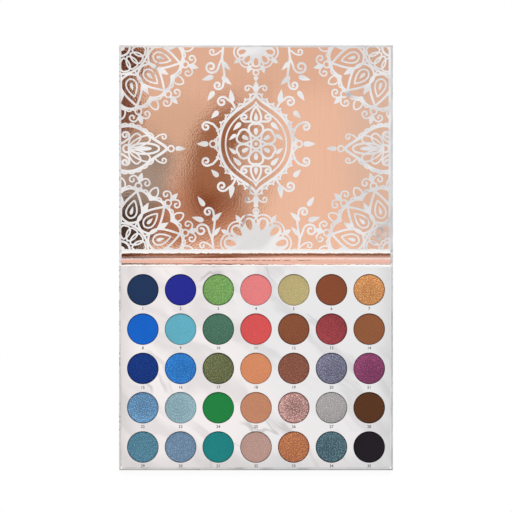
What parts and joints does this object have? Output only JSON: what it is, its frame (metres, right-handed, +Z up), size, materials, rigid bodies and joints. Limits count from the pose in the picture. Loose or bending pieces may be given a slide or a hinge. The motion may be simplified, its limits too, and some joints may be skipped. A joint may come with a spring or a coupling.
{
  "type": "eyeshadow palette",
  "caption": "Book-style eyeshadow palette of wrapped board, open flat: a tray of round pressed powders under a printed card, a folding spine and a foil-lined lid.",
  "frame": {"origin": "middle of the open palette's underside, on the surface it lies on, midway along and across the spine", "axes": "+X across the palette to the right, +Y from the base to the lid, +Z up out of the pans"},
  "size_m": [0.2252, 0.3498, 0.0069],
  "materials": {
    "greyboard": "matte",
    "marble_paper": "satin",
    "marble_card": "satin",
    "foil_lining": "polished",
    "plain_foil": "polished",
    "magnet": "satin",
    "tinplate": "satin",
    "shade_01": "matte",
    "shade_02": "matte",
    "shade_03": "satin",
    "shade_04": "matte",
    "shade_05": "satin",
    "shade_06": "matte",
    "shade_07": "satin",
    "shade_08": "matte",
    "shade_09": "matte",
    "shade_10": "satin",
    "shade_11": "matte",
    "shade_12": "satin",
    "shade_13": "satin",
    "shade_14": "matte",
    "shade_15": "satin",
    "shade_16": "satin",
    "shade_17": "satin",
    "shade_18": "matte",
    "shade_19": "satin",
    "shade_20": "satin",
    "shade_21": "satin",
    "shade_22": "satin",
    "shade_23": "satin",
    "shade_24": "matte",
    "shade_25": "matte",
    "shade_26": "satin",
    "shade_27": "satin",
    "shade_28": "matte",
    "shade_29": "satin",
    "shade_30": "satin",
    "shade_31": "matte",
    "shade_32": "satin",
    "shade_33": "satin",
    "shade_34": "satin",
    "shade_35": "matte"
  },
  "bodies": {
    "base": {"base_board": "greyboard", "base_wrap": "marble_paper", "base_hinge_foil": "plain_foil", "tray_wall_left": "greyboard", "tray_wall_right": "greyboard", "tray_wall_front": "greyboard", "tray_wall_rear": "greyboard", "tray_wrap": "marble_paper", "platform": "marble_card", "base_magnets": "magnet", "pans": "tinplate", "powder_01": "shade_01", "powder_02": "shade_02", "powder_03": "shade_03", "powder_04": "shade_04", "powder_05": "shade_05", "powder_06": "shade_06", "powder_07": "shade_07", "powder_08": "shade_08", "powder_09": "shade_09", "powder_10": "shade_10", "powder_11": "shade_11", "powder_12": "shade_12", "powder_13": "shade_13", "powder_14": "shade_14", "powder_15": "shade_15", "powder_16": "shade_16", "powder_17": "shade_17", "powder_18": "shade_18", "powder_19": "shade_19", "powder_20": "shade_20", "powder_21": "shade_21", "powder_22": "shade_22", "powder_23": "shade_23", "powder_24": "shade_24", "powder_25": "shade_25", "powder_26": "shade_26", "powder_27": "shade_27", "powder_28": "shade_28", "powder_29": "shade_29", "powder_30": "shade_30", "powder_31": "shade_31", "powder_32": "shade_32", "powder_33": "shade_33", "powder_34": "shade_34", "powder_35": "shade_35"},
    "spine": {"spine_board": "greyboard", "spine_wrap": "marble_paper", "spine_foil": "plain_foil"},
    "lid": {"lid_board": "greyboard", "lid_wrap": "marble_paper", "lid_lining": "foil_lining", "lid_magnets": "magnet"}
  },
  "joints": [
    {"name": "spine_fold", "type": "hinge", "parent": "base", "child": "spine", "pos_m": [0, -0.00453, 0], "axis": [1, 0, 0], "range_deg": [0, 90]},
    {"name": "lid_fold", "type": "hinge", "parent": "spine", "child": "lid", "pos_m": [0, 0.00453, 0], "axis": [1, 0, 0], "range_deg": [0, 90]}
  ]
}
